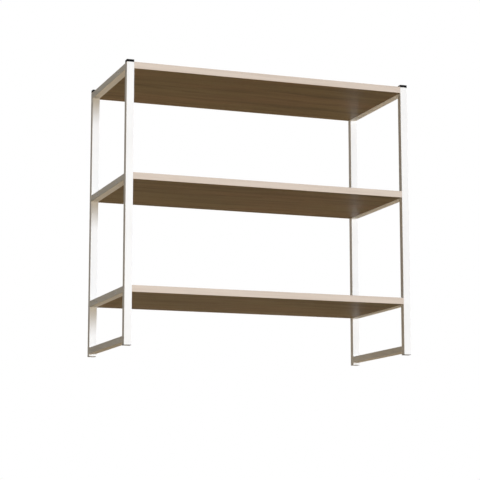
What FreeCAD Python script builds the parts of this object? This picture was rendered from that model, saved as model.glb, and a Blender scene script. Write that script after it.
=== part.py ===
import FreeCAD
import Part
import os

# Shelving unit that hangs on a wall: two welded side frames of rectangular tube carry three
# veneered boards between them.
# Sizes are in millimetres. X runs along the boards, Y towards the wall and Z up. The origin
# lies on the wall plane, in the middle of the four keyholes that the unit hangs on.

Vector = FreeCAD.Vector
X_AXIS = Vector(1, 0, 0)
Y_AXIS = Vector(0, 1, 0)
Z_AXIS = Vector(0, 0, 1)

# Whole unit
UNIT_WIDTH = 800.0
UNIT_DEPTH = 356.0

# Tube of the side frames. Its width lies along X, and its depth front to back in an upright and up
# and down in a rail
TUBE_WIDTH = 20.0
TUBE_DEPTH = 17.0
TUBE_WALL = 1.5
TUBE_OUTER_CORNER = 0.8
TUBE_INNER_CORNER = 0.4

# Uprights, and how far the top rails lie below their upper ends and the foot rails above their
# lower ends
UPRIGHT_LENGTH = 735.0
TOP_RAIL_DROP = 0.5
FOOT_RAIL_LIFT = 6.0

# Boards, and how far the middle of each lies above the middle of its rails
SHELF_PITCH = 292.0
BOARD_LIFT = 1.5
CORE_THICKNESS = 16.0
VENEER_THICKNESS = 0.7
EDGE_BAND_THICKNESS = 2.0
EDGE_BAND_ARRIS = 0.6

# Plugs in the tube ends
CAP_HEIGHT = 7.0
CAP_ROUNDING = 0.6
FOOT_FLANGE = 1.5
FOOT_ROUNDING = 0.4
SPIGOT_DEPTH = 14.0
SPIGOT_WALL = 1.4
SPIGOT_CLEARANCE = 0.6
LAMELLA_COUNT = 3
LAMELLA_THICKNESS = 1.0

# Bolts through the rails and inserts in the boards
BOLT_RADIUS = 3.0
BOLT_HEAD_RADIUS = 5.2
BOLT_HEAD_RIM = 0.3
BOLT_HOLE_CLEARANCE = 0.3
BOLT_ENGAGEMENT = 13.0
BOLT_END_DISTANCE = 65.0
SOCKET_ACROSS_FLATS = 4.0
SOCKET_DEPTH = 1.8
INSERT_RADIUS = 4.5
INSERT_LENGTH = 15.0
INSERT_HOLE_RUNOUT = 3.0
THREAD_CLEARANCE = 0.05

# Keyholes in the back walls of the rear uprights
KEYHOLE_END_DISTANCE = 60.0
KEYHOLE_ENTRY_RADIUS = 5.0
KEYHOLE_SLOT_WIDTH = 5.2
KEYHOLE_RISE = 12.0

# How far a cutting shape stands past the wall that it cuts
CUT_OVERRUN = 1.0

# How far an edge may lean from an axis, or lie off a plane, and still be picked as on it
PICK_TOLERANCE = 0.001

# Places that follow from the sizes
FRAME_TOP = UPRIGHT_LENGTH / 2
FRAME_BOTTOM = -UPRIGHT_LENGTH / 2
FRONT_FACE = -UNIT_DEPTH
UPRIGHT_X = (UNIT_WIDTH - TUBE_WIDTH) / 2
BOARD_LENGTH = UNIT_WIDTH - 2 * TUBE_WIDTH
BOARD_THICKNESS = CORE_THICKNESS + 2 * VENEER_THICKNESS
RAIL_LENGTH = UNIT_DEPTH - 2 * TUBE_DEPTH
BORE_WIDTH = TUBE_WIDTH - 2 * TUBE_WALL
BORE_DEPTH = TUBE_DEPTH - 2 * TUBE_WALL
BOLT_HEAD_CONE = BOLT_HEAD_RADIUS - BOLT_RADIUS

SIDES = {"left": -1, "right": 1}
UPRIGHT_Y = {
    "front": FRONT_FACE + TUBE_DEPTH / 2,
    "rear": -TUBE_DEPTH / 2,
}
TOP_RAIL_Z = FRAME_TOP - TOP_RAIL_DROP - TUBE_DEPTH / 2
SHELF_RAIL_Z = {
    "top": TOP_RAIL_Z,
    "middle": TOP_RAIL_Z - SHELF_PITCH,
    "lower": TOP_RAIL_Z - 2 * SHELF_PITCH,
}
FOOT_RAIL_Z = FRAME_BOTTOM + FOOT_RAIL_LIFT + TUBE_DEPTH / 2
BOLT_Y = (
    FRONT_FACE + TUBE_DEPTH + BOLT_END_DISTANCE,
    -TUBE_DEPTH - BOLT_END_DISTANCE,
)
KEYHOLE_Z = (
    FRAME_TOP - KEYHOLE_END_DISTANCE,
    FRAME_BOTTOM + KEYHOLE_END_DISTANCE,
)


def block(x_span, y_span, z_span):
    """Plain box between the given limits along each axis."""
    corner = Vector(x_span[0], y_span[0], z_span[0])
    size = [high - low for low, high in (x_span, y_span, z_span)]
    return Part.makeBox(*size, corner)


def edges_along(shape, axis):
    """Straight edges of a shape that run along an axis."""
    straight = [edge for edge in shape.Edges if isinstance(edge.Curve, Part.Line)]
    return [edge for edge in straight if edge.Curve.Direction.cross(axis).Length < PICK_TOLERANCE]


def edges_at(board, y):
    """Long edges of a board's strip that lie at one depth."""
    return [edge for edge in edges_along(board, X_AXIS) if abs(edge.CenterOfMass.y - y) < PICK_TOLERANCE]


def rounded_bar(width, depth, length, corner):
    """Bar of rounded rectangular section that stands on the origin along Z."""
    bar = block((-width / 2, width / 2), (-depth / 2, depth / 2), (0, length))
    return bar.makeFillet(corner, edges_along(bar, Z_AXIS))


def tube(length):
    """Hollow tube of the frame that stands on the origin along Z."""
    outside = rounded_bar(TUBE_WIDTH, TUBE_DEPTH, length, TUBE_OUTER_CORNER)
    inside = rounded_bar(BORE_WIDTH, BORE_DEPTH, length, TUBE_INNER_CORNER)
    return outside.cut(inside)


def keyhole_cutter(z):
    """Entry circle with a narrower slot above it, through the back wall only."""
    depth = TUBE_WALL + 2 * CUT_OVERRUN
    inner_y = -TUBE_WALL - CUT_OVERRUN
    slot_half = KEYHOLE_SLOT_WIDTH / 2
    seat_z = z + KEYHOLE_RISE
    entry = Part.makeCylinder(KEYHOLE_ENTRY_RADIUS, depth, Vector(0, inner_y, z), Y_AXIS)
    seat = Part.makeCylinder(slot_half, depth, Vector(0, inner_y, seat_z), Y_AXIS)
    slot = block((-slot_half, slot_half), (inner_y, inner_y + depth), (z, seat_z))
    return entry.fuse([slot, seat])


def upright(side, place):
    """Upright of a side frame. The rear ones have the keyholes."""
    post = tube(UPRIGHT_LENGTH)
    post.translate(Vector(0, UPRIGHT_Y[place], FRAME_BOTTOM))
    if place == "rear":
        post = post.cut([keyhole_cutter(z) for z in KEYHOLE_Z])
    post.translate(Vector(SIDES[side] * UPRIGHT_X, 0, 0))
    return post


def turned(profile, start):
    """Solid of revolution about an X-parallel axis, from (along X, radius) points."""
    points = [Vector(start.x + along, start.y, start.z + radius) for along, radius in profile]
    face = Part.Face(Part.makePolygon(points + points[:1]))
    return face.revolve(start, X_AXIS, 360)


def to_side(shape, side):
    """Shape made for the left side, mirrored to the right where that is asked for."""
    if side == "left":
        return shape
    return shape.mirror(Vector(0, 0, 0), X_AXIS)


def bolt_hole_cutter(y, z):
    """Countersunk hole through both walls of a left rail."""
    clear_radius = BOLT_RADIUS + BOLT_HOLE_CLEARANCE
    clear_depth = BOLT_HEAD_RIM + BOLT_HEAD_RADIUS - clear_radius
    profile = (
        (-CUT_OVERRUN, 0),
        (-CUT_OVERRUN, BOLT_HEAD_RADIUS),
        (BOLT_HEAD_RIM, BOLT_HEAD_RADIUS),
        (clear_depth, clear_radius),
        (TUBE_WIDTH + CUT_OVERRUN, clear_radius),
        (TUBE_WIDTH + CUT_OVERRUN, 0),
    )
    return turned(profile, Vector(-UNIT_WIDTH / 2, y, z))


def rail(side, z, bolted):
    """Rail between the two uprights of a side frame."""
    bar = tube(RAIL_LENGTH)
    bar.rotate(Vector(0, 0, 0), X_AXIS, 90)
    bar.translate(Vector(-UPRIGHT_X, -TUBE_DEPTH, z))
    if bolted:
        bar = bar.cut([bolt_hole_cutter(y, z) for y in BOLT_Y])
    return to_side(bar, side)


def spigot():
    """Hollow stem below Z = 0 that fits in a tube, with lamellas that grip the tube wall."""
    stem_width = BORE_WIDTH - 2 * SPIGOT_CLEARANCE
    stem_depth = BORE_DEPTH - 2 * SPIGOT_CLEARANCE
    stem = rounded_bar(stem_width, stem_depth, SPIGOT_DEPTH, TUBE_INNER_CORNER)
    hollow_width = stem_width - 2 * SPIGOT_WALL
    hollow_depth = stem_depth - 2 * SPIGOT_WALL
    hollow = rounded_bar(hollow_width, hollow_depth, SPIGOT_DEPTH, TUBE_INNER_CORNER)
    lamellas = []
    for number in range(LAMELLA_COUNT):
        lamella = rounded_bar(BORE_WIDTH, BORE_DEPTH, LAMELLA_THICKNESS, TUBE_INNER_CORNER)
        step = SPIGOT_DEPTH / (LAMELLA_COUNT + 1)
        lamella.translate(Vector(0, 0, (number + 1) * step - LAMELLA_THICKNESS / 2))
        lamellas.append(lamella)
    stem = stem.fuse(lamellas).cut(hollow)
    stem.translate(Vector(0, 0, -SPIGOT_DEPTH))
    return stem.removeSplitter()


def tube_plug(head_height, rounding):
    """Moulded plug: a head the size of the tube above Z = 0 and a spigot below it."""
    head = rounded_bar(TUBE_WIDTH, TUBE_DEPTH, head_height, TUBE_OUTER_CORNER)
    top_edges = [edge for edge in head.Edges if edge.BoundBox.ZMin > head_height / 2]
    head = head.makeFillet(rounding, top_edges)
    return head.fuse(spigot())


def top_cap(side, place):
    """Cap on the upper end of an upright."""
    cap = tube_plug(CAP_HEIGHT, CAP_ROUNDING)
    cap.translate(Vector(SIDES[side] * UPRIGHT_X, UPRIGHT_Y[place], FRAME_TOP))
    return cap


def foot_plug(side, place):
    """Thin-flanged plug in the lower end of an upright."""
    plug = tube_plug(FOOT_FLANGE, FOOT_ROUNDING)
    plug.rotate(Vector(0, 0, 0), X_AXIS, 180)
    plug.translate(Vector(SIDES[side] * UPRIGHT_X, UPRIGHT_Y[place], FRAME_BOTTOM))
    return plug


def insert_at(y, z):
    """Threaded insert in the left end of a board, flush with the board's end."""
    start = Vector(-BOARD_LENGTH / 2, y, z)
    sleeve = Part.makeCylinder(INSERT_RADIUS, INSERT_LENGTH, start, X_AXIS)
    thread = Part.makeCylinder(BOLT_RADIUS + THREAD_CLEARANCE, INSERT_LENGTH, start, X_AXIS)
    return sleeve.cut(thread)


def insert_hole_cutter(y, z):
    """Blind hole for an insert in the left end of a board, deeper than the insert."""
    start = Vector(-BOARD_LENGTH / 2, y, z)
    hole = Part.makeCylinder(INSERT_RADIUS, INSERT_LENGTH, start, X_AXIS)
    runout_radius = BOLT_RADIUS + THREAD_CLEARANCE
    runout_length = INSERT_LENGTH + INSERT_HOLE_RUNOUT
    return hole.fuse(Part.makeCylinder(runout_radius, runout_length, start, X_AXIS))


def bolt_at(y, z):
    """Countersunk socket bolt through a left rail into the end of a board."""
    tip = TUBE_WIDTH + BOLT_ENGAGEMENT
    profile = (
        (0, 0),
        (0, BOLT_HEAD_RADIUS),
        (BOLT_HEAD_RIM, BOLT_HEAD_RADIUS),
        (BOLT_HEAD_RIM + BOLT_HEAD_CONE, BOLT_RADIUS),
        (tip, BOLT_RADIUS),
        (tip, 0),
    )
    start = Vector(-UNIT_WIDTH / 2, y, z)
    bolt = turned(profile, start)
    spoke = Vector(0, 0, SOCKET_ACROSS_FLATS / 3**0.5)
    turns = [FreeCAD.Rotation(X_AXIS, 60 * corner) for corner in range(6)]
    corners = [start + turn.multVec(spoke) for turn in turns]
    hexagon = Part.Face(Part.makePolygon(corners + corners[:1]))
    socket = hexagon.extrude(Vector(SOCKET_DEPTH, 0, 0))
    return bolt.cut(socket)


def at_each_fixing(maker, z):
    """Shapes of one kind at the four fixings of a board, made by maker(y, z) for the left."""
    return [to_side(maker(y, z), side) for side in SIDES for y in BOLT_Y]


def shelf_pieces(rail_z):
    """Board between rails at the given height: core, face veneers, edge bands and fixings."""
    z = rail_z + BOARD_LIFT
    length_span = (-BOARD_LENGTH / 2, BOARD_LENGTH / 2)
    face_span = (FRONT_FACE + EDGE_BAND_THICKNESS, -EDGE_BAND_THICKNESS)
    core_bottom = z - CORE_THICKNESS / 2
    core_top = z + CORE_THICKNESS / 2
    board_span = (z - BOARD_THICKNESS / 2, z + BOARD_THICKNESS / 2)

    core = block(length_span, face_span, (core_bottom, core_top))
    core = core.cut(at_each_fixing(insert_hole_cutter, rail_z))
    front = block(length_span, (FRONT_FACE, face_span[0]), board_span)
    rear = block(length_span, (face_span[1], 0), board_span)
    front_arris = edges_at(front, FRONT_FACE)
    rear_arris = edges_at(rear, 0)
    return {
        "core": core,
        "upper_veneer": block(length_span, face_span, (core_top, board_span[1])),
        "lower_veneer": block(length_span, face_span, (board_span[0], core_bottom)),
        "front_edge": front.makeFillet(EDGE_BAND_ARRIS, front_arris),
        "rear_edge": rear.makeFillet(EDGE_BAND_ARRIS, rear_arris),
        "bolts": Part.makeCompound(at_each_fixing(bolt_at, rail_z)),
        "inserts": Part.makeCompound(at_each_fixing(insert_at, rail_z)),
    }


def all_pieces():
    """Every piece of the unit by its name."""
    pieces = {}
    for side in SIDES:
        for place in UPRIGHT_Y:
            pieces[f"{side}_{place}_upright"] = upright(side, place)
            pieces[f"{side}_{place}_top_cap"] = top_cap(side, place)
            pieces[f"{side}_{place}_foot_plug"] = foot_plug(side, place)
        for level, z in SHELF_RAIL_Z.items():
            pieces[f"{side}_{level}_rail"] = rail(side, z, bolted=True)
        pieces[f"{side}_foot_rail"] = rail(side, FOOT_RAIL_Z, bolted=False)
    for level, z in SHELF_RAIL_Z.items():
        for piece, shape in shelf_pieces(z).items():
            pieces[f"{level}_shelf_{piece}"] = shape
    return pieces


os.makedirs("parts", exist_ok=True)
for name, shape in all_pieces().items():
    shape.exportStep(f"parts/{name}.step")
    print(name, len(shape.Solids), "solids", round(shape.Volume / 1000, 2), "cm3", shape.isValid())
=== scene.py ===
# %% [markdown]
# # A wall-mounted shelving unit
# Two ladder-like side frames of white steel tube carry three veneered boards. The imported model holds
# every piece at its real size, so this lesson never moves one. It paints them, adds the weld beads
# that hold the frames together, and sets up the light and the camera.
# We load the frame first and keep its box, because the dressed unit has to stay inside it.

# %% Load the frame
import math

import bpy
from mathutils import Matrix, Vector


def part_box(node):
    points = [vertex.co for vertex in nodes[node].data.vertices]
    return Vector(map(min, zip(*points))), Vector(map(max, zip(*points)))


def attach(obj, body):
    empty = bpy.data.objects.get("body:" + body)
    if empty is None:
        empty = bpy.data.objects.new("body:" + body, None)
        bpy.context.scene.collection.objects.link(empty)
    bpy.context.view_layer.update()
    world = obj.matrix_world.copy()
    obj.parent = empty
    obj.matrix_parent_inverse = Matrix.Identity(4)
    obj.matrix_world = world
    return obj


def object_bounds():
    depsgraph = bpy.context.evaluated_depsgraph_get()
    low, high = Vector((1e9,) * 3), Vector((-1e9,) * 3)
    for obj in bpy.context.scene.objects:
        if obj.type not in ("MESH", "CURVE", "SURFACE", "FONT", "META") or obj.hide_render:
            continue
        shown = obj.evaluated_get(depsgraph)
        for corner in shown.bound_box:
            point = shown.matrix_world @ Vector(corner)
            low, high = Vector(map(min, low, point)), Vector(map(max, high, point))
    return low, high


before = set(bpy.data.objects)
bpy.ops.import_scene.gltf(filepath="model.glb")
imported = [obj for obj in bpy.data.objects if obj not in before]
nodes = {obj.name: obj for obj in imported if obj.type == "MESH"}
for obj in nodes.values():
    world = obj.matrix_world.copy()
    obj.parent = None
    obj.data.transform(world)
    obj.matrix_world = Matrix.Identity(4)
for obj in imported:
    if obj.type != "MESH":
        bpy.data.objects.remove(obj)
cad_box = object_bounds()
print("frame:", len(nodes), "nodes, box in metres", [tuple(round(v, 4) for v in c) for c in cad_box])

# %% [markdown]
# ## The camera
# The unit was photographed from in front, to its left and from below, with a long lens, so that we
# look up at the undersides of the boards. A camera looks down its own -Z axis. Raising it by a right
# angle makes it look along +Y, then the pitch tips it upwards and the yaw turns it to the right.

# %% Place the camera
CAMERA_PLACE = (-1.55906, -4.39945, -0.78496)
CAMERA_YAW = 0.34885
CAMERA_PITCH = 0.16151
CAMERA_LENS = 125.3
RIGHT_ANGLE = math.pi / 2

lens = bpy.data.cameras.new("camera")
lens.lens = CAMERA_LENS
camera = bpy.data.objects.new("camera", lens)
camera.location = CAMERA_PLACE
camera.rotation_euler = (RIGHT_ANGLE + CAMERA_PITCH, 0, -CAMERA_YAW)
bpy.context.scene.collection.objects.link(camera)
bpy.context.scene.camera = camera
bpy.context.scene.view_settings.view_transform = "Standard"
print("camera:", CAMERA_LENS, "mm lens,", round(Vector(CAMERA_PLACE).length, 2), "m from the origin")

# %% [markdown]
# ## Shader sums in plain Python
# A finish is a small sum: a colour plus a bit of streak, minus a bit of pore. Wiring that by hand
# takes many Math nodes. Instead, one class holds the output of a node, and its plus, minus and so on
# add the Math node for us. Numbers alone stay in Python, and colours go through Mix nodes, because a
# Math node would turn them grey.

# %% A wire from one node to the next
# How many finer layers a noise has
FLAT = 0.0
PLAIN = 1.0
MIXED = 2.0
RICH = 3.0
# Where a Mix node takes its factor and two colours, and where it gives the mixed colour
MIX_INPUTS = (0, 6, 7)
MIX_OUTPUT = 2


class Wire:
    """The output of a shader node. Arithmetic on it adds Math nodes to the same tree."""

    def __init__(self, tree, socket=None):
        self.tree = tree
        self.socket = socket

    def into(self, target, inputs):
        """Links wires to the sockets of a node, and sets plain values there."""
        for name, value in inputs.items():
            if isinstance(value, Wire):
                self.tree.links.new(value.socket, target.inputs[name])
            else:
                target.inputs[name].default_value = value

    def node(self, kind, settings=None, inputs=None, output=0):
        """Adds a node: first its settings, then the values or links of its sockets."""
        added = self.tree.nodes.new("ShaderNode" + kind)
        for name, value in (settings or {}).items():
            setattr(added, name, value)
        self.into(added, inputs or {})
        return Wire(self.tree, added.outputs[output])

    def sibling(self, output):
        """Another output of the same node."""
        return Wire(self.tree, self.socket.node.outputs[output])

    def math(self, operation, *values):
        return self.node("Math", {"operation": operation}, dict(enumerate(values)))

    def __add__(self, other):
        return self.math("ADD", self, other)

    def __sub__(self, other):
        return self.math("SUBTRACT", self, other)

    def __rsub__(self, other):
        return self.math("SUBTRACT", other, self)

    def __mul__(self, other):
        return self.math("MULTIPLY", self, other)

    def __pow__(self, other):
        return self.math("POWER", self, other)

    __radd__ = __add__
    __rmul__ = __mul__

    def fraction(self):
        """What is left of this value when the whole number is taken away."""
        return self.math("FRACT", self)

    def step(self, start, end):
        """0 below start and 1 above end, with a smooth rise between them."""
        limits = {"Value": self, "From Min": start, "From Max": end}
        return self.node("MapRange", {"interpolation_type": "SMOOTHSTEP"}, limits)

    def mix(self, first, second):
        """The first colour where this value is 0, and the second where it is 1."""
        chosen = dict(zip(MIX_INPUTS, (self, first, second)))
        return self.node("Mix", {"data_type": "RGBA"}, chosen, MIX_OUTPUT)

    def scaled(self, along, across, up):
        """This place, with its axes stretched, as a vector for a texture."""
        return self.node("Mapping", None, {"Vector": self, "Scale": (along, across, up)})

    def evenly(self, times):
        """This place, with all its axes stretched alike."""
        return self.scaled(times, times, times)

    def noise(self, layers, grit=0.5):
        """Cloudy noise from 0 to 1 at this place, with lumps about one unit across."""
        chosen = {"Vector": self, "Scale": 1.0, "Detail": layers, "Roughness": grit}
        return self.node("TexNoise", None, chosen)

    def swing(self):
        """This noise about its middle, so that it swings both ways."""
        return self - 0.5

    def bump(self, height):
        """A normal from this value, as a relief of that height in metres."""
        return self.node("Bump", None, {"Height": self, "Distance": height, "Strength": 1.0})


# %% [markdown]
# Every finish starts from Blender's own Principled shader and from Object coordinates, which here are
# metres in the unit's own frame. So a pattern has its real size, and no two pieces get the same
# stretch of it. A finish is then handed out to all the nodes of one kind.

# %% Start a finish and hand it out
def new_finish(name):
    """A new material, its shader, and the place on the piece in the unit's own frame."""
    finish = bpy.data.materials.new(name)
    finish.use_nodes = True
    shader = finish.node_tree.nodes["Principled BSDF"]
    place = Wire(finish.node_tree).node("TexCoord", output="Object")
    return finish, shader, place


def dress(finish, *endings):
    """Gives a finish to the nodes whose names end in one of these words."""
    chosen = [node for name, node in nodes.items() if name.endswith(endings)]
    for node in chosen:
        for slot in node.material_slots:
            slot.material = finish
    print(finish.name, "on", len(chosen), "nodes")


print("nodes that need a finish:", len(nodes))

# %% [markdown]
# ## White powder coat
# The tubes are powder coated: dry paint is sprayed on and melted into one skin. It is never quite
# flat. Up close it has the fine dimples that painters call orange peel, and its tone drifts a little
# along a tube. Two sizes of noise give the dimples, and a slow one the drift.

# %% Mix the white coat
COAT_WHITE = (0.87, 0.865, 0.855, 1.0)
COAT_SHADE = (0.82, 0.81, 0.795, 1.0)
PEEL_PER_METRE = 650.0
PEEL_FINE_PER_METRE = 2100.0
PEEL_SHARE = 0.75
PEEL_HEIGHT = 0.00003
DIMPLE_DEPTH = 0.15
DIMPLE_ROUGHNESS = 0.06
DRIFT_PER_METRE = 9.0
DRIFT_RANGE = (0.35, 0.75)
DRIFT_DEPTH = 0.6
DRIFT_ROUGHNESS = 0.1
COAT_ROUGHNESS = 0.5
COAT_GLOSS = 0.2


def powder_coat():
    finish, shader, place = new_finish("white_powder_coat")
    peel = place.evenly(PEEL_PER_METRE).noise(PLAIN)
    fine = place.evenly(PEEL_FINE_PER_METRE).noise(PLAIN)
    drift = place.evenly(DRIFT_PER_METRE).noise(RICH)
    dimples = peel * PEEL_SHARE + fine * (1 - PEEL_SHARE)
    shade = drift.step(*DRIFT_RANGE) * DRIFT_DEPTH + dimples * DIMPLE_DEPTH
    place.into(shader, {
        "Base Color": shade.mix(COAT_WHITE, COAT_SHADE),
        "Roughness": COAT_ROUGHNESS + drift * DRIFT_ROUGHNESS + dimples * DIMPLE_ROUGHNESS,
        "Specular IOR Level": COAT_GLOSS,
        "Normal": dimples.bump(PEEL_HEIGHT),
    })
    return finish


coat = powder_coat()
dress(coat, "_upright", "_rail")

# %% [markdown]
# ## Bolt enamel
# The bolts that hold the boards have flat heads, sunk level with the rails and painted white to match.
# A fine gap round each head is shown as painted shade: a dark ring stands in for the shadow in that
# gap. The key that turned the bolts has rubbed the paint off inside the socket. Both depend on how far
# a spot is from the axis of the nearest bolt. The distance across comes from folding the two rows of
# bolts onto one, and the distance up or down from folding the three boards onto one.

# %% Paint the bolts
ENAMEL_WHITE = (0.86, 0.86, 0.855, 1.0)
ENAMEL_SHADE = (0.80, 0.80, 0.79, 1.0)
STEEL_GREY = (0.40, 0.395, 0.385, 1.0)
# Painted shade: the near-black colour of the ring round each head, in place of the shadow in the gap
PAINTED_GAP_SHADE = (0.10, 0.095, 0.085, 1.0)
HEAD_RADIUS = 0.0052
GAP_START = 0.00035
GAP_END = 0.00015
SOCKET_BARE = 0.0021
SOCKET_PAINTED = 0.0025
BRUSH_PER_METRE = 900.0
BRUSH_RANGE = (0.35, 0.7)
BRUSH_HEIGHT = 0.00002
ENAMEL_ROUGHNESS = 0.32
BRUSH_ROUGHNESS = 0.12
GAP_ROUGHNESS = 0.3


def bolt_enamel():
    finish, shader, place = new_finish("white_bolt_enamel")
    low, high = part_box("middle_shelf_bolts")
    row = (high.y - low.y) / 2 - HEAD_RADIUS
    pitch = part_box("top_shelf_bolts")[0].z - low.z
    depth = place.node("SeparateXYZ", None, {"Vector": place}, "Y")
    across = depth - (low.y + high.y) / 2
    height = depth.sibling("Z") - (low.z + high.z) / 2
    beside = across.math("ABSOLUTE", across) - row
    above = height.math("PINGPONG", height, pitch / 2)
    radius = (beside * beside + above * above) ** 0.5
    bare = 1 - radius.step(SOCKET_BARE, SOCKET_PAINTED)
    # Painted shade: the mask of the dark ring round each head, where the gap's shadow would fall
    gap_shade = radius.step(HEAD_RADIUS - GAP_START, HEAD_RADIUS - GAP_END)
    brush = place.evenly(BRUSH_PER_METRE).noise(MIXED)
    painted = brush.step(*BRUSH_RANGE).mix(ENAMEL_WHITE, ENAMEL_SHADE)
    place.into(shader, {
        # The dark ring round each head is painted shade for the gap
        "Base Color": gap_shade.mix(bare.mix(painted, STEEL_GREY), PAINTED_GAP_SHADE),
        "Metallic": bare,
        "Roughness": ENAMEL_ROUGHNESS + brush * BRUSH_ROUGHNESS + gap_shade * GAP_ROUGHNESS,
        "Normal": brush.bump(BRUSH_HEIGHT),
    })
    print("bolts:", round(2 * row, 4), "m between rows,", round(pitch, 4), "m between boards")
    return finish


dress(bolt_enamel(), "_bolts")

# %% [markdown]
# ## Brown veneer
# Both faces of a board are thin leaves of brown wood. A leaf is sliced along a log, so its growth
# rings show as long arches. We work out how far each spot was from the heart of the log, and turn
# that distance into rings. Each board has a log of its own: its height in the unit picks where the
# heart lies.

# %% Slice the log
RINGS_PER_METRE = 95.0
RING_END = (0.94, 1.0)
HEART_DEPTH = 0.05
HEART_SLOPE = 0.06
HEART_SWAY = 0.05
HEART_SPREAD = 0.5
BOARDS_PER_METRE = 5.0
SWAY_SCALE = (2.2, 5.0, BOARDS_PER_METRE)


def growth_rings(place, sway):
    """From 0 at the start of each year's wood to 1 at its end."""
    along = place.node("SeparateXYZ", None, {"Vector": place}, "X")
    board = place.scaled(0.0, 0.0, BOARDS_PER_METRE).noise(FLAT)
    side = along.sibling("Y") + sway * HEART_SWAY + board * HEART_SPREAD
    depth = along * HEART_SLOPE + sway * HEART_SWAY + HEART_DEPTH
    return ((side * side + depth * depth) ** 0.5 * RINGS_PER_METRE).fraction()


print("log:", RINGS_PER_METRE, "rings to the metre")

# %% [markdown]
# The rings alone would look drawn. Most of what we see is the grain: broad dark flames, lines and
# fibres, which are noise stretched along the board, and short dark pores, which lie closer in the late
# wood of a ring. A thin satin lacquer covers the wood and sinks in at the pores.

# %% Lay the veneer
VENEER_DARK = (0.126, 0.085, 0.036, 1.0)
VENEER_OLIVE = (0.224, 0.162, 0.077, 1.0)
VENEER_RED = (0.246, 0.156, 0.079, 1.0)
PORE_BROWN = (0.070, 0.047, 0.023, 1.0)
GRAIN_SWAY = 0.07
TINT_SCALE = (2.6, 14.0, BOARDS_PER_METRE)
TINT_RANGE = (0.42, 0.68)
FLAME_SCALE = (2.6, 34.0, 40.0)
FLAME_GRIT = 0.6
FLAME_DEPTH = 2.8
LINE_SCALE = (2.8, 210.0, 60.0)
LINE_GRIT = 0.7
LINE_DEPTH = 2.0
LINE_ROUGHNESS = 0.12
FIBRE_SCALE = (14.0, 900.0, 300.0)
FIBRE_DEPTH = 0.6
FIBRE_RELIEF = 0.3
PORE_SCALE = (60.0, 1900.0, 900.0)
PORE_RANGE = (0.60, 0.72)
PORES_IN_EARLY_WOOD = 0.35
PORE_DEPTH = 0.7
PORE_ROUGHNESS = 0.1
PORE_HEIGHT = 0.00005
LATE_WOOD_DEPTH = 0.45
VENEER_SHADE = 0.23
VENEER_ROUGHNESS = 0.55
VENEER_GLOSS = 0.05
LACQUER = 0.5
LACQUER_LOST_IN_PORES = 0.25
LACQUER_ROUGHNESS = 0.42


def brown_veneer():
    finish, shader, place = new_finish("brown_veneer")
    sway = place.scaled(*SWAY_SCALE).noise(MIXED).swing()
    rings = growth_rings(place, sway)
    late_wood = rings * rings * rings - rings.step(*RING_END)
    aside = place.node("CombineXYZ", None, {"Y": sway * GRAIN_SWAY})
    grain = place.node("VectorMath", {"operation": "ADD"}, {0: place, 1: aside})
    flames = grain.scaled(*FLAME_SCALE).noise(MIXED, FLAME_GRIT)
    lines = grain.scaled(*LINE_SCALE).noise(RICH, LINE_GRIT)
    fibres = grain.scaled(*FIBRE_SCALE).noise(MIXED)
    tint = grain.scaled(*TINT_SCALE).noise(MIXED)
    pores = grain.scaled(*PORE_SCALE).noise(PLAIN).step(*PORE_RANGE)
    pores = pores * (PORES_IN_EARLY_WOOD + rings * (1 - PORES_IN_EARLY_WOOD))
    streaks = flames.swing() * FLAME_DEPTH + lines.swing() * LINE_DEPTH + fibres.swing() * FIBRE_DEPTH
    shade = streaks + late_wood * LATE_WOOD_DEPTH + VENEER_SHADE
    ground = tint.step(*TINT_RANGE).mix(VENEER_OLIVE, VENEER_RED)
    wood = shade.mix(ground, VENEER_DARK)
    place.into(shader, {
        "Base Color": (pores * PORE_DEPTH).mix(wood, PORE_BROWN),
        "Roughness": VENEER_ROUGHNESS + lines * LINE_ROUGHNESS + pores * PORE_ROUGHNESS,
        "Specular IOR Level": VENEER_GLOSS,
        "Coat Weight": LACQUER - pores * LACQUER_LOST_IN_PORES,
        "Coat Roughness": LACQUER_ROUGHNESS,
        "Normal": (fibres * FIBRE_RELIEF - pores).bump(PORE_HEIGHT),
    })
    return finish


dress(brown_veneer(), "_veneer")

# %% [markdown]
# ## Pale edge band
# The front and rear edges are covered with a thicker strip of pale wood. It is close-grained, so it
# gets only fine streaks and short flecks along its length, and a faint change of tone. It has a dull
# lacquer.

# %% Plane the edge band
BAND_LIGHT = (0.640, 0.549, 0.470, 1.0)
BAND_DARK = (0.545, 0.454, 0.378, 1.0)
STREAK_SCALE = (6.0, 150.0, 150.0)
STREAK_GRIT = 0.6
STREAK_RANGE = (0.35, 0.7)
STREAK_DEPTH = 0.5
HAIR_SCALE = (30.0, 1300.0, 1300.0)
HAIR_DEPTH = 0.3
HAIR_ROUGHNESS = 0.12
TONE_SCALE = (3.0, 20.0, 20.0)
TONE_DEPTH = 0.5
FLECK_SCALE = (160.0, 2200.0, 2200.0)
FLECK_RANGE = (0.62, 0.76)
FLECK_DEPTH = 0.25
FLECK_RELIEF = 0.5
BAND_ROUGHNESS = 0.5
BAND_GLOSS = 0.25


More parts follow.
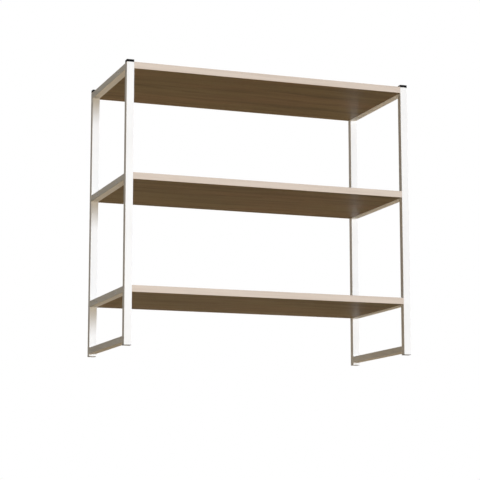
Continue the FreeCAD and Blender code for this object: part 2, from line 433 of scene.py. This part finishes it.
def edge_band():
    finish, shader, place = new_finish("pale_edge_band")
    streaks = place.scaled(*STREAK_SCALE).noise(RICH, STREAK_GRIT).step(*STREAK_RANGE)
    hairs = place.scaled(*HAIR_SCALE).noise(MIXED)
    tone = place.scaled(*TONE_SCALE).noise(PLAIN)
    flecks = place.scaled(*FLECK_SCALE).noise(PLAIN).step(*FLECK_RANGE)
    drift = tone.swing() * TONE_DEPTH + hairs.swing() * HAIR_DEPTH
    shade = streaks * STREAK_DEPTH + drift + flecks * FLECK_DEPTH
    place.into(shader, {
        "Base Color": shade.mix(BAND_LIGHT, BAND_DARK),
        "Roughness": BAND_ROUGHNESS + hairs * HAIR_ROUGHNESS,
        "Specular IOR Level": BAND_GLOSS,
        "Normal": (hairs - flecks * FLECK_RELIEF).bump(PORE_HEIGHT),
    })
    return finish


dress(edge_band(), "_front_edge", "_rear_edge")

# %% [markdown]
# ## Board core
# Between the veneers lies pressed wood: chips of many sizes in glue. Only its ends can be seen, as
# slivers above the rails. Cells of random tone, stretched flat, look like pressed chips.

# %% Press the core
CHIP_LIGHT = (0.52, 0.38, 0.23, 1.0)
CHIP_DARK = (0.24, 0.15, 0.08, 1.0)
CHIPS_PER_METRE = 420.0
CHIP_FLATNESS = 2.6
CHIP_SHARE = 0.75
CHIP_HEIGHT = 0.0002
CORE_ROUGHNESS = 0.85
CHIP_SHEEN = 0.1


def pressed_core():
    finish, shader, place = new_finish("pressed_wood_core")
    spread = place.scaled(CHIPS_PER_METRE, CHIPS_PER_METRE, CHIPS_PER_METRE * CHIP_FLATNESS)
    cell = place.node("TexVoronoi", None, {"Vector": spread, "Scale": 1.0}, "Color")
    tone = place.node("SeparateColor", None, {"Color": cell}, 0)
    dust = spread.noise(RICH)
    place.into(shader, {
        "Base Color": (tone * CHIP_SHARE + dust * (1 - CHIP_SHARE)).mix(CHIP_LIGHT, CHIP_DARK),
        "Roughness": CORE_ROUGHNESS - tone * CHIP_SHEEN,
        "Normal": (tone + dust).bump(CHIP_HEIGHT),
    })
    return finish


dress(pressed_core(), "_core")

# %% [markdown]
# ## Moulded plastics
# The upper ends of the uprights have black caps, and the lower ends grey plugs. Moulded plastic takes
# on the fine spark-eroded grain of its mould. The grain breaks up the gloss, and dust greys it a bit.

# %% Mould the caps and plugs
CAP_BLACK = (0.006, 0.006, 0.0065, 1.0)
CAP_DUSTY = (0.013, 0.013, 0.013, 1.0)
CAP_GLOSS = 0.06
PLUG_GREY = (0.36, 0.35, 0.335, 1.0)
PLUG_DUSTY = (0.42, 0.405, 0.385, 1.0)
PLUG_GLOSS = 0.3
GRAIN_PER_METRE = 2400.0
GRAIN_HEIGHT = 0.00004
GRAIN_ROUGHNESS = 0.12
DUST_PER_METRE = 120.0
DUST_RANGE = (0.4, 0.75)
DUST_ROUGHNESS = 0.08
PLASTIC_ROUGHNESS = 0.5


def moulded(name, fresh, dusty, gloss):
    finish, shader, place = new_finish(name)
    grain = place.evenly(GRAIN_PER_METRE).noise(MIXED)
    dust = place.evenly(DUST_PER_METRE).noise(RICH)
    place.into(shader, {
        "Base Color": dust.step(*DUST_RANGE).mix(fresh, dusty),
        "Roughness": PLASTIC_ROUGHNESS + grain * GRAIN_ROUGHNESS + dust * DUST_ROUGHNESS,
        "Specular IOR Level": gloss,
        "Normal": grain.bump(GRAIN_HEIGHT),
    })
    return finish


dress(moulded("black_cap_plastic", CAP_BLACK, CAP_DUSTY, CAP_GLOSS), "_top_cap")
dress(moulded("grey_foot_plastic", PLUG_GREY, PLUG_DUSTY, PLUG_GLOSS), "_foot_plug")

# %% [markdown]
# ## Brass inserts
# Each bolt screws into a threaded brass insert in the end of a board. They are out of sight, but
# someone may take the unit apart, so they get turned brass with a dull film here and there.

# %% Turn the brass
BRASS_BRIGHT = (0.78, 0.56, 0.25, 1.0)
BRASS_DULL = (0.48, 0.33, 0.15, 1.0)
TURNING_SCALE = (3000.0, 60.0, 60.0)
TURNING_ROUGHNESS = 0.14
TURNING_HEIGHT = 0.00004
FILM_PER_METRE = 180.0
FILM_RANGE = (0.4, 0.7)
FILM_ROUGHNESS = 0.1
BRASS_ROUGHNESS = 0.26


def turned_brass():
    finish, shader, place = new_finish("turned_brass")
    turning = place.scaled(*TURNING_SCALE).noise(PLAIN)
    film = place.evenly(FILM_PER_METRE).noise(RICH)
    place.into(shader, {
        "Base Color": film.step(*FILM_RANGE).mix(BRASS_BRIGHT, BRASS_DULL),
        "Metallic": 1.0,
        "Roughness": BRASS_ROUGHNESS + turning * TURNING_ROUGHNESS + film * FILM_ROUGHNESS,
        "Normal": turning.bump(TURNING_HEIGHT),
    })
    return finish


dress(turned_brass(), "_inserts")

# %% [markdown]
# ## Weld beads
# Every rail is welded to its two uprights. Above and below the rail, a bead fills the corner. At the
# sides the tubes are flush, so there the weld only fills the seam and is dressed flat. A bead is a row
# of molten puddles that froze one over the other. We could put ripples in a bump map, but a bead has a
# body of its own, so we model it: a disc is extruded along in short steps, four to a puddle, each a
# little thinner than the last, until the next puddle starts.

# %% Draw out a rod
BEAD_SIDES = 24
RINGS_PER_RIPPLE = 4
END_START = 0.1


def rippled_rod(length, radius, ripples, swell, across):
    """A rod along X, through that place in Y and Z: a row of frozen puddles with round ends."""
    steps = RINGS_PER_RIPPLE * ripples
    widths = []
    for step in range(steps + 1):
        fall = step % RINGS_PER_RIPPLE / (RINGS_PER_RIPPLE - 1)
        inward = min(1, (min(step, steps - step) + END_START) * length / steps / radius)
        widths.append((1 - swell * fall) * math.sqrt(1 - (1 - inward) ** 2))
    bpy.ops.object.select_all(action="DESELECT")
    bpy.ops.mesh.primitive_circle_add(
        vertices=BEAD_SIDES, radius=radius * widths[0], fill_type="NGON",
        location=(-length / 2, *across), rotation=(0, RIGHT_ANGLE, 0))
    rod = bpy.context.object
    bpy.ops.object.transform_apply()
    bpy.ops.object.mode_set(mode="EDIT")
    bpy.ops.mesh.select_all(action="SELECT")
    for step in range(1, steps + 1):
        grow = widths[step] / widths[step - 1]
        bpy.ops.mesh.extrude_region_move(TRANSFORM_OT_translate={"value": (length / steps, 0, 0)})
        bpy.ops.transform.resize(value=(1, grow, grow), center_override=(0, *across))
    return rod


print("rods have", BEAD_SIDES, "sides and", RINGS_PER_RIPPLE, "rings to a puddle")

# %% [markdown]
# A rod is then cut to the part that shows outside the steel. A corner bead keeps less than a quarter
# of it, cut a little inside the tubes so that no gap shows. A seam bead is a thin slice, with its
# crests level with the tubes, and it ends where their rounded corners start. Bisect counts points near
# its plane as lying on it. A fine tolerance keeps the cuts flat, because a bead is so small.

# %% Cut the beads
BEAD_LENGTH = 0.018
BEAD_RADIUS = 0.0030
BEAD_SINK = 0.0010
BEAD_RIPPLES = 14
BEAD_RIPPLE = 0.09
TUBE_CORNER = 0.0008
SEAM_RADIUS = 0.0020
SEAM_THICKNESS = 0.0008
SEAM_RIPPLES = 10
SEAM_RIPPLE = 0.02
CUT_DEPTH = 0.0002
CUT_TOLERANCE = 0.000001
MERGE_DISTANCE = 0.00001
SMOOTH_ANGLE = math.radians(50.0)


def trim(place, normal):
    """Cuts off what lies on the side of a plane that its normal points to, and closes the cut."""
    bpy.ops.mesh.select_all(action="SELECT")
    bpy.ops.mesh.bisect(
        plane_co=place, plane_no=normal, use_fill=True, clear_outer=True, threshold=CUT_TOLERANCE)


def close_bead(name, rod):
    """Merges the points that the cuts doubled, turns the faces outwards and smooths the bead."""
    bpy.ops.mesh.select_all(action="SELECT")
    bpy.ops.mesh.remove_doubles(threshold=MERGE_DISTANCE)
    bpy.ops.mesh.normals_make_consistent(inside=False)
    bpy.ops.object.mode_set(mode="OBJECT")
    bpy.ops.object.shade_smooth_by_angle(angle=SMOOTH_ANGLE)
    rod.name = name
    print(name, "has", len(rod.data.polygons), "faces")
    return rod


def corner_bead():
    """A bead in the corner below a rail and behind a front upright: steel above it and at its front."""
    rod = rippled_rod(BEAD_LENGTH, BEAD_RADIUS, BEAD_RIPPLES, BEAD_RIPPLE, (-BEAD_SINK, BEAD_SINK))
    trim((0, 0, CUT_DEPTH), (0, 0, 1))
    trim((0, -CUT_DEPTH, 0), (0, -1, 0))
    return close_bead("corner_bead", rod)


def seam_bead():
    """A bead in a flush seam, facing down: its crests are level with the steel."""
    low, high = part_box("left_foot_rail")
    length = high.z - low.z - 2 * TUBE_CORNER
    rod = rippled_rod(length, SEAM_RADIUS, SEAM_RIPPLES, SEAM_RIPPLE, (0, SEAM_RADIUS))
    trim((0, 0, SEAM_THICKNESS), (0, 0, 1))
    return close_bead("seam_bead", rod)


corner = corner_bead()
seam = seam_bead()

# %% [markdown]
# One corner bead and one seam bead now serve all the joints. A quarter turn about X takes the corner
# bead to the next corner of the joint, and a quarter turn about Y stands the seam bead upright with
# its face to the left or right. The boards hide the inner seams, except at the foot rails. The caps
# sit right above the top rails, which have no bead there.

# %% Weld the frames
SEAM_SET_BACK = 0.0002


def weld(rail):
    """All the beads of one rail, joined into one piece."""
    low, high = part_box(rail)
    middle = (low + high) / 2
    joints = [
        (corner, (0, 0, 0), (middle.x, low.y, low.z)),
        (corner, (-RIGHT_ANGLE, 0, 0), (middle.x, high.y, low.z)),
    ]
    if "_top_" not in rail:
        joints.append((corner, (RIGHT_ANGLE, 0, 0), (middle.x, low.y, high.z)))
        joints.append((corner, (2 * RIGHT_ANGLE, 0, 0), (middle.x, high.y, high.z)))
    open_sides = [low.x, high.x] if "_foot_" in rail else [max(low.x, high.x, key=abs)]
    for x in open_sides:
        turn = RIGHT_ANGLE if x < middle.x else -RIGHT_ANGLE
        joints.append((seam, (0, turn, 0), (x, low.y - SEAM_SET_BACK, middle.z)))
        joints.append((seam, (0, turn, 0), (x, high.y + SEAM_SET_BACK, middle.z)))
    bpy.ops.object.select_all(action="DESELECT")
    for bead, turn, place in joints:
        copy = bead.copy()
        copy.data = bead.data.copy()
        copy.rotation_euler = turn
        copy.location = place
        bpy.context.scene.collection.objects.link(copy)
        copy.select_set(True)
        bpy.context.view_layer.objects.active = copy
    bpy.ops.object.transform_apply()
    bpy.ops.object.join()
    welds = bpy.context.object
    welds.name = rail + "_welds"
    welds.data.materials.append(coat)
    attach(welds, "root")
    return len(joints)


rails = sorted(name for name in nodes if name.endswith("_rail"))
print("beads laid:", sum(weld(rail) for rail in rails), "on", len(rails), "rails")
for pattern in (corner, seam):
    bpy.data.objects.remove(pattern)

# %% [markdown]
# ## Studio light
# A level of 1 means that a face square to the lamp shows its colour as written. For a far lamp that
# takes an energy of pi, and for a panel an energy that grows with the square of its distance. Gloss
# shows the white room and not the lamps, because the low key would turn the tops into a white glare for
# anyone behind the unit.

# %% Build lamps
def towards(azimuth, elevation):
    """A direction: azimuth to the right of straight ahead of the unit, elevation above level."""
    turn, rise = math.radians(azimuth), math.radians(elevation)
    return Vector((math.sin(turn) * math.cos(rise), -math.cos(turn) * math.cos(rise), math.sin(rise)))


def new_lamp(kind, name, way, colour, energy):
    """A lamp that stands that way from the unit and shines back at it."""
    light = bpy.data.lights.new(name, kind)
    light.color = colour
    light.energy = energy
    lamp = bpy.data.objects.new(name, light)
    lamp.rotation_euler = (-towards(*way)).to_track_quat("-Z", "Y").to_euler()
    lamp.visible_camera = False
    lamp.visible_glossy = False
    bpy.context.scene.collection.objects.link(lamp)
    print("lamp", name, "with energy", round(energy, 2))
    return lamp


def sun(name, way, colour, level, angle):
    """A far lamp. The wider its angle, the softer its shadows."""
    lamp = new_lamp("SUN", name, way, colour, level * math.pi)
    lamp.data.angle = math.radians(angle)


def panel(name, way, colour, level, distance, size):
    """A near lamp with a broad face, as a studio's light box."""
    lamp = new_lamp("AREA", name, way, colour, level * (math.pi * distance) ** 2)
    lamp.location = towards(*way) * distance
    lamp.data.shape = "RECTANGLE"
    lamp.data.size, lamp.data.size_y = size


print("straight ahead of the unit is", towards(0.0, 0.0)[:])

# %% [markdown]
# The key is a soft low light from the front right, so each board throws a soft shadow on the rear
# uprights. A warm front fill opens those shadows. A second warm lamp, low behind the unit, stands for
# light that the floor throws back at the undersides of the boards. An overhead light and one from high
# behind serve the tops and the back.

# %% Hang the lamps
KEY_LEVEL = 1.04
KEY_COLOUR = (0.80, 0.88, 1.0)
KEY_WAY = (42.0, 5.5)
KEY_ANGLE = 10.0
TOP_LEVEL = 0.40
TOP_COLOUR = (1.0, 0.93, 0.87)
TOP_WAY = (0.0, 90.0)
TOP_ANGLE = 25.0
REAR_LEVEL = 0.82
REAR_COLOUR = (0.84, 0.93, 1.0)
REAR_WAY = (180.0, 40.0)
REAR_ANGLE = 20.0
FRONT_LEVEL = 0.345
FRONT_COLOUR = (1.0, 0.915, 0.78)
FRONT_WAY = (-13.5, -3.5)
FRONT_DISTANCE = 7.5
FRONT_SIZE = (1.8, 0.9)
LOW_LEVEL = 0.64
LOW_COLOUR = (1.0, 0.835, 0.69)
LOW_WAY = (165.0, -24.0)
LOW_DISTANCE = 2.4
LOW_SIZE = (1.6, 0.5)

sun("key", KEY_WAY, KEY_COLOUR, KEY_LEVEL, KEY_ANGLE)
sun("overhead", TOP_WAY, TOP_COLOUR, TOP_LEVEL, TOP_ANGLE)
sun("rear", REAR_WAY, REAR_COLOUR, REAR_LEVEL, REAR_ANGLE)
panel("front_fill", FRONT_WAY, FRONT_COLOUR, FRONT_LEVEL, FRONT_DISTANCE, FRONT_SIZE)
panel("low_fill", LOW_WAY, LOW_COLOUR, LOW_LEVEL, LOW_DISTANCE, LOW_SIZE)

# %% [markdown]
# ## Background
# The world is white to the camera and in reflections, and only a weak light for everything else.
# Light Path tells which kind of ray asks.

# %% Set the world
AMBIENT = (0.01, 0.01, 0.01, 1.0)
WHITE = (1.0, 1.0, 1.0, 1.0)


def white_surroundings():
    world = bpy.data.worlds.new("studio")
    world.use_nodes = True
    bpy.context.scene.world = world
    sky = Wire(world.node_tree)
    ray = sky.node("LightPath", output="Is Camera Ray")
    seen = ray + ray.sibling("Is Glossy Ray") + ray.sibling("Is Transmission Ray")
    shader = world.node_tree.nodes["Background"]
    sky.into(shader, {"Color": seen.mix(AMBIENT, WHITE), "Strength": 1.0})
    print("world: white where it is seen, level", AMBIENT[0], "as a light")


white_surroundings()

# %% [markdown]
# ## Floor
# The unit hangs on a wall, so the floor is well below it. The camera should see a plain white studio
# floor with the unit's soft shadow on it, but a floor that white would flood the undersides of the
# boards with light. So the floor is pale, with a glow of its own, only to rays from the camera or
# through something clear. Rays that bounce off a dull face meet a warm brown. Reflections see a blend
# of the two, because the gloss of the veneer shows a dim floor with the bright uprights against it.
# From below the floor is see-through.

# %% Lay the floor
FLOOR_DROP = 0.75
FLOOR_RADIUS = 60.0
FLOOR_SIDES = 96
FLOOR_ROUGHNESS = 0.9
FLOOR_WARM = (0.225, 0.165, 0.090, 1.0)
FLOOR_PALE = (0.60, 0.60, 0.60, 1.0)
FLOOR_GLOW = (0.55, 0.55, 0.55, 1.0)
FLOOR_IN_GLOSS = 0.06
BLACK = (0.0, 0.0, 0.0, 1.0)


def lay_floor():
    bpy.ops.object.select_all(action="DESELECT")
    level = cad_box[0].z - FLOOR_DROP
    bpy.ops.mesh.primitive_circle_add(
        vertices=FLOOR_SIDES, radius=FLOOR_RADIUS, fill_type="NGON", location=(0, 0, level))
    floor = bpy.context.object
    floor.name = "floor"
    finish, shader, place = new_finish("pale_floor")
    ray = place.node("LightPath", output="Is Camera Ray")
    seen = ray + ray.sibling("Is Transmission Ray") + ray.sibling("Is Glossy Ray") * FLOOR_IN_GLOSS
    place.into(shader, {
        "Base Color": seen.mix(FLOOR_WARM, FLOOR_PALE),
        "Emission Color": seen.mix(BLACK, FLOOR_GLOW),
        "Emission Strength": 1.0,
        "Roughness": FLOOR_ROUGHNESS,
        "Specular IOR Level": 0.0,
    })
    back = place.node("NewGeometry", output="Backfacing")
    clear = place.node("BsdfTransparent")
    surface = Wire(place.tree, shader.outputs["BSDF"])
    shown = place.node("MixShader", None, {0: back, 1: surface, 2: clear})
    place.into(place.tree.nodes["Material Output"], {"Surface": shown})
    floor.data.materials.append(finish)
    print("floor at", round(level, 3))


lay_floor()
